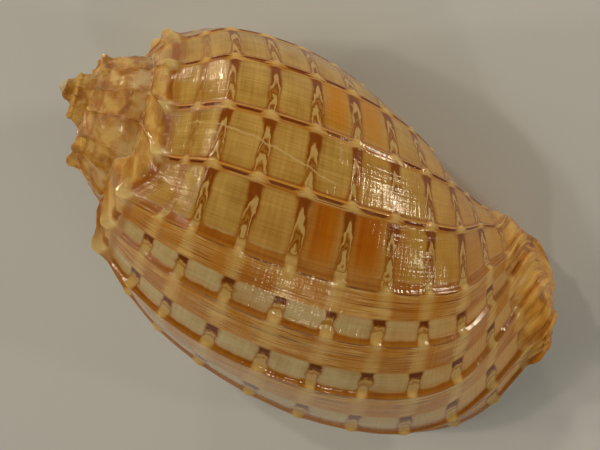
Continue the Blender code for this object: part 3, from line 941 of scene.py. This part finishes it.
    columnEnd = addNode("MapRange", [down, 0.9, 1.0, 1.0, 0.2])
    onSide = addNode("MapRange", [v, 0.6, byWidth["columnsFullFrom"]])
    offFasciole = addNode("MapRange", [v, 9.8, 10.2, 1.0, 0.0])
    for factor in (columnEnd, onSide, offFasciole):
        inColumn = addNode("Math", [inColumn, factor], **times)
    gapColour = addNode("Mix", {0: inColumn, 6: gapColour, 7: columnColour}, **asColours)

    # a healed break runs from rib to rib, as one fine pale line
    scarAt = addNode("Math", [v, -0.8], **plus)
    scarAt = addNode("Math", [scarAt, 2.0], operation="POWER")
    scarAt = addNode("Math", [scarAt, look["scarBow"], look["scarFrom"]], **timesPlus)
    scarAt = addNode("Math", [wobbleX, look["scarWobble"], scarAt], **timesPlus)
    offScar = addNode("Math", [u, scarAt], operation="SUBTRACT")
    offScar = addNode("Math", [offScar], operation="ABSOLUTE")
    onScar = addNode("MapRange", [offScar, *look["scarWidth"], look["scarStrength"], 0.0])
    scarStart = addNode("MapRange", [v, 0.6, 1.0])
    scarEnd = addNode("MapRange", [v, 4.3, 4.8, 1.0, 0.0])
    for factor in (scarEnd, scarStart):
        onScar = addNode("Math", [onScar, factor], **times)
    gapColour = addNode("Mix", {0: onScar, 6: gapColour, 7: colour["scar"]}, **asColours)

    # the rib bodies: striped along the growth lines, darker between the knobs
    stripes = {"Vector": lineAt, "Scale": degree / look["stripeSize"], "Detail": 4.0, "Roughness": 0.62}
    bodyLines = addNode("TexNoise", stripes)
    bodyColour = addNode("ValToRGB", [bodyLines], stops=look["bodyStripes"])
    bodyDark = addNode("MapRange", [blockLuck, *look["bodyShading"]])
    offKnob = addNode("MapRange", [fromKnob, 0.12, 0.24])
    lateBody = addNode("MapRange", [share, 0.05, 0.22, 0.25, 1.0])
    for factor in (offKnob, lateBody):
        bodyDark = addNode("Math", [bodyDark, factor], **times)
    warmClouds = addNode("TexNoise", {"Vector": maps["warmCloud"], "Scale": 1.0})
    warmShare = addNode("MapRange", [warmClouds, *look["bodyWarmth"]])
    atColumn = addNode("MapRange", [fromKnob, 0.05, 0.2, 0.45, 0.0])
    for layer, key in ((bodyDark, "bodyShade"), (warmShare, "bodyWarm"), (atColumn, "knob")):
        bodyColour = addNode("Mix", {0: layer, 6: bodyColour, 7: colour[key]}, **asColours)
    wideBody = addNode("MapRange", [share, *look["wideBodyEdge"], 1.0, 0.0])
    thinBody = addNode("MapRange", [share, *look["thinBodyEdge"], 1.0, 0.0])
    onBody = addNode("Mix", {0: wide, 2: thinBody, 3: wideBody})
    coat = addNode("Mix", {0: onBody, 6: gapColour, 7: bodyColour}, **asColours)

    # the band before each edge, partly painted shade at the foot of the raised edge, the pale edge itself,
    # partly a painted highlight on its top, the dashes between the knobs, and the knobs
    dashWidth = addNode("MapRange", [fromKnob, *look["dashPlaces"], 0.0, look["dashWidth"]])
    dashWidth = addNode("Math", [dashWidth, byWidth["dashShare"]], **times)
    dashEdge = addNode("Math", [since, dashWidth], operation="SUBTRACT")
    brokenUp = addNode("MapRange", [bodyLines, 0.42, 0.6, 1.0, 0.75])
    for factor in (offKnob, offFasciole):
        brokenUp = addNode("Math", [brokenUp, factor], **times)
    nearEdge = addNode("Math", [since, until], operation="MINIMUM")
    nearKnob = addNode("MapRange", [nearEdge, *look["knobReach"], 1.0, 0.0])
    nearSpine = addNode("MapRange", [nearEdge, *look["spineReach"], 1.0, 0.0])
    fromShoulder = addNode("Math", [v], operation="ABSOLUTE")
    # colour, what it fades with, where it fades, its strength, and what thins it out
    edgeLayers = (
        # partly painted shade: the brown band darkens the hollow at the foot of the newer rib's edge
        ("band", until, "bandShadeFade", 0.8, byWidth["bandShadeStrength"]),
        # partly a painted highlight: the pale gold along the top of each raised edge
        ("crest", until, "crestHighlightFade", 0.85, byWidth["crestHighlightStrength"]),
        ("dash", dashEdge, "dashFade", 1.0, brokenUp),
        ("knob", fromKnob, "knobFade", 0.8, nearKnob),
        ("spine", fromShoulder, "spineFade", 0.9, nearSpine),
    )
    for key, measure, fade, strength, factor in edgeLayers:
        layer = addNode("MapRange", [measure, *look[fade], strength, 0.0])
        layer = addNode("Math", [layer, factor], **times)
        coat = addNode("Mix", {0: layer, 6: coat, 7: colour[key]}, **asColours)

    # fasciole, ramp and spire: brown and tan, mottled
    mottleScale = 1 / (look["mottleSize"] * mm)
    mottle = {"Vector": where, "Scale": mottleScale, "Detail": 4.0, "Distortion": 0.3}
    mottle = addNode("TexNoise", mottle)
    scaleShare = addNode("Math", [share, 2.0], **times)
    scaleShare = addNode("Math", [scaleShare], operation="FRACT")
    streakMap = addNode("VectorMath", [maps["scaleStreak"], (0.0, 0.0, 3.0)], **plus)
    streaks = addNode("TexNoise", {"Vector": streakMap, "Scale": 1.0, "Detail": 3.5, "Roughness": 0.6})
    frontTone = addNode("Math", [scaleShare, -0.14, streaks], **timesPlus)
    frontColour = addNode("ValToRGB", [frontTone], stops=look["fascioleTones"])
    purples = addNode("TexNoise", {"Vector": where, "Scale": 1 / (look["purpleSize"] * mm)})
    purple = addNode("MapRange", [purples, *look["purpleShare"]])
    onScales = addNode("MapRange", [v, 10.2, 10.9])
    purple = addNode("Math", [purple, onScales], **times)
    frontColour = addNode("Mix", {0: purple, 6: frontColour, 7: colour["fasciolePurple"]}, **asColours)
    onFront = addNode("MapRange", [v, 9.7, 10.4, 0.0, 0.9])
    coat = addNode("Mix", {0: onFront, 6: coat, 7: frontColour}, **asColours)
    spireColour = addNode("ValToRGB", [mottle], stops=look["spireTones"])
    # grey patches near the suture: partly the spire's own pearly grey, partly a painted sheen
    nearSuture = addNode("MapRange", [v, 1.5, 2.4, 0.0, 0.5])
    greyPatches = addNode("MapRange", [mottle, 0.46, 0.56])
    greyAndSheenShare = addNode("Math", [nearSuture, greyPatches], **times)
    spireColour = addNode("Mix", {0: greyAndSheenShare, 6: spireColour, 7: colour["spireGreyAndSheen"]}, **asColours)
    onRamp = addNode("MapRange", [v, -0.15, 0.1, 0.55, 0.0])
    spireShare = addNode("Math", [spire, look["spireShare"]], **times)
    spireShare = addNode("Math", [spireShare, onRamp], operation="MAXIMUM")
    coat = addNode("Mix", {0: spireShare, 6: coat, 7: spireColour}, **asColours)
    bandFrom = addNode("MapRange", [v, 0.1, 0.2, 0.0, 0.6])
    bandTo = addNode("MapRange", [v, 0.28, 0.4, 1.0, 0.0])
    shoulderBand = addNode("Math", [bandTo, bandFrom], **times)
    # a painted highlight: a pale line along the suture
    sutureHighlight = addNode("MapRange", [v, -0.99, -0.965, look["sutureHighlightStrength"], 0.0])
    for layer, key in ((shoulderBand, "shoulderTan"), (sutureHighlight, "apexWhite"), (apexDome, "apexWhite")):
        coat = addNode("Mix", {0: layer, 6: coat, 7: colour[key]}, **asColours)

    # glaze beside the aperture, with its brown blotches, and the pale inside
    blotchScale = 1 / (look["glazeBlotch"] * mm)
    blotches = addNode("TexNoise", {"Vector": where, "Scale": blotchScale, "Detail": 3.0})
    blotched = addNode("MapRange", [blotches, *look["blotched"]], interpolation_type="SMOOTHSTEP")
    glazeColour = addNode("Mix", {0: blotched, 6: colour["glaze"], 7: colour["glazeBrown"]}, **asColours)
    coat = addNode("Mix", {0: glaze, 6: coat, 7: glazeColour}, **asColours)
    insideColour = addNode("Mix", {0: look["insideTint"], 6: colour["inside"], 7: coat}, **asColours)
    coat = addNode("Mix", {0: inner, 6: coat, 7: insideColour}, **asColours)
    tree.links.new(coat, surface.inputs["Base Color"])

    # the polish is uneven by a few hundredths, and the ridges and spiral lines can just be felt
    roughness = addNode("MapRange", [mottle, 0.3, 0.7, *look["roughness"]])
    tree.links.new(roughness, surface.inputs["Roughness"])
    surface.inputs["IOR"].default_value = look["ior"]
    surface.inputs["Coat Weight"].default_value = look["coat"]
    surface.inputs["Coat Roughness"].default_value = look["coatRoughness"]
    ridges = {"Vector": lineAt, "Scale": degree / look["ridgeSize"], "Roughness": 0.6}
    ridges = addNode("TexNoise", ridges)
    ridgeBump = addNode("Bump", {"Distance": look["ridgeHeight"] * mm, "Height": ridges})
    crossed = {"Distance": look["spiralHeight"] * mm, "Height": spiralLines, "Normal": ridgeBump}
    tree.links.new(addNode("Bump", crossed), surface.inputs["Normal"])
    return material


report("painting")
shellMaterial = paintShell("glazedAragonite", glazedShell)
harpShell.data.materials.clear()
harpShell.data.materials.append(shellMaterial)

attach(harpShell, "root")
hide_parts("shell")

# Floor, camera and lights.
studio = {
    "floorSize": 1.6,
    "floorColour": "#d4dae5",  # matt paper
    "floorRoughness": 0.8,
    "focal": 84.5,
    "sensor": 36.0,
    "distance": 1408,  # in the drawing's unit
    "unit": 0.00013245,  # metres
    "centreFromApex": (236.9, 140.1),  # right and down
    "tilt": 10.92,  # degrees
    "turned": 24.17,
    "nearest": 0.01,
    "worldColour": "#f4ead2",
    "worldStrength": 0.065,
    "lampColour": "#fff0d0",
    "lampDistance": 0.6,
    "aimHeight": 0.02,
    "shineBelow": 0.3,  # lamps wider than this don't shine in the glaze
    # Soft boxes all round, low enough for their reflections to lie on the whorl's shoulders:
    # azimuth and height seen from the shell in degrees, width and height in metres, and watts
    "lamps": {
        "leftFront": (-156, 19, 0.035, 0.035, 0.37),
        "left": (-166, 50, 0.04, 0.04, 0.3),
        "leftFill": (-160, 46, 0.30, 0.30, 0.6),
        "backLeft": (156, 46, 0.035, 0.035, 0.4),
        "back": (128, 5, 0.036, 0.036, 0.87),
        "right": (49, 18, 0.09, 0.045, 0.7),
        "front": (-118, 9, 0.08, 0.03, 0.02),
        "rightFront": (-62, 42, 0.04, 0.04, 0.23),
        "rightTop": (21, 26, 0.045, 0.045, 0.25),
        "rightFill": (-22, 36, 0.30, 0.30, 0.32),
        "overhead": (108, 68, 0.50, 0.50, 0.1),
    },
}
report("setting up the studio")
bpy.ops.object.select_all(action="DESELECT")
bpy.ops.mesh.primitive_plane_add(size=studio["floorSize"], location=(0, 0, 0))
floor = bpy.context.object
floor.name = "floor"
paper = bpy.data.materials.new("palePaper")
paper.use_nodes = True
matt = paper.node_tree.nodes["Principled BSDF"]
matt.inputs["Base Color"].default_value = hexColour(studio["floorColour"])
matt.inputs["Roughness"].default_value = studio["floorRoughness"]
floor.data.materials.append(paper)
floor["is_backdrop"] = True

tilt, turned = radians(studio["tilt"]), radians(studio["turned"])
axis, sideways, up = Vector((1, 0, 0)), Vector((0, -1, 0)), Vector((0, 0, 1))
along = axis * np.cos(tilt) + up * np.sin(tilt)
right = along * np.cos(turned) - sideways * np.sin(turned)
downward = along * np.sin(turned) + sideways * np.cos(turned)
away = -axis * np.sin(tilt) + up * np.cos(tilt)
restTurn = toRest.to_3x3().normalized()
toRight, toBottom = studio["centreFromApex"]
fromApex = (right * toRight + downward * toBottom + away * studio["distance"]) * studio["unit"]
cameraAt = restTurn @ fromApex + Vector(restPose["apexAt"]) * mm
view = Matrix((restTurn @ right, restTurn @ -downward, restTurn @ away)).transposed().to_4x4()
bpy.ops.object.camera_add()
camera = bpy.context.object
camera.matrix_world = Matrix.Translation(cameraAt) @ view
camera.data.sensor_width = studio["sensor"]
camera.data.lens = studio["focal"]
camera.data.clip_start = studio["nearest"]
bpy.context.scene.camera = camera

for name, (azimuth, height, width, tall, watts) in studio["lamps"].items():
    azimuth, height = radians(azimuth), radians(height)
    level = np.cos(height)
    direction = Vector((np.cos(azimuth) * level, np.sin(azimuth) * level, np.sin(height)))
    lampAt = direction * studio["lampDistance"] + Vector((0, 0, studio["aimHeight"]))
    bpy.ops.object.light_add(type="AREA", location=lampAt)
    light = bpy.context.object
    light.name = name
    light.data.shape = "RECTANGLE"
    light.data.size = width
    light.data.size_y = tall
    light.data.energy = watts
    light.data.color = hexColour(studio["lampColour"])[:3]
    light.visible_glossy = width < studio["shineBelow"]
    light.rotation_euler = (-direction).to_track_quat("-Z", "Y").to_euler()

world = bpy.data.worlds.new("studio")
bpy.context.scene.world = world
world.use_nodes = True
background = world.node_tree.nodes["Background"]
background.inputs["Color"].default_value = hexColour(studio["worldColour"])
background.inputs["Strength"].default_value = studio["worldStrength"]
bpy.context.scene.view_settings.view_transform = "Standard"

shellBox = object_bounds()
boxes = {"cad": cadBox, "visual": shellBox}
boxes = {name: [list(map(float, corner)) for corner in box] for name, box in boxes.items()}
report("done")
